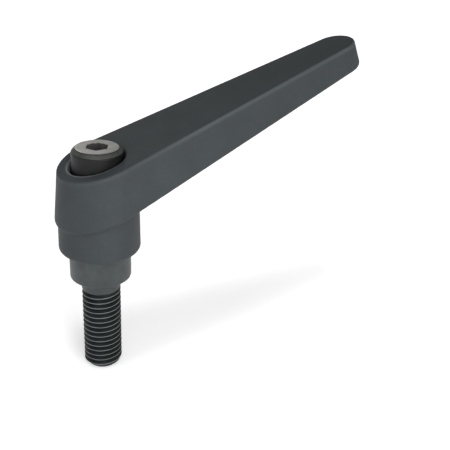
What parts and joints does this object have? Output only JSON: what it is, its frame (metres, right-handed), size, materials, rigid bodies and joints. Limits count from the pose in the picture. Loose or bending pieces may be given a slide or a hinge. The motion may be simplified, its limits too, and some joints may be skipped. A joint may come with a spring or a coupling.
{
  "type": "adjustable clamping lever",
  "caption": "Adjustable clamping lever: a rising handle turns a threaded stud through a serrated hub, and lifts against a spring to be set at a new angle.",
  "frame": {"origin": "on the stud's axis, in the plane where the collar seats on the clamped part", "axes": "+Z along the stud's axis away from the clamped part, +X along the handle as it points at rest, seen from above"},
  "size_m": [0.1085, 0.0288, 0.0989],
  "materials": {
    "coated_casting": "fine matt texture, dark grey",
    "blackened_steel": "black oxide, satin",
    "spring_steel": "drawn wire, oiled"
  },
  "bodies": {
    "stud": {"threaded_stud": "blackened_steel", "retaining_screw": "blackened_steel"},
    "spring": {"compression_spring": "spring_steel"},
    "lever": {"lever": "coated_casting"}
  },
  "joints": [
    {"name": "lever_turn", "type": "hinge", "parent": "stud", "child": "spring", "pos_m": [0, 0, 0.0232], "axis": [0, 0, 1], "continuous": true},
    {"name": "lever_lift", "type": "slide", "parent": "spring", "child": "lever", "axis": [0, 0, 1], "range_m": [0, 0.0055], "stiffness_N_per_m": 2000, "springref_m": -0.006, "deforming": ["compression_spring"]}
  ]
}
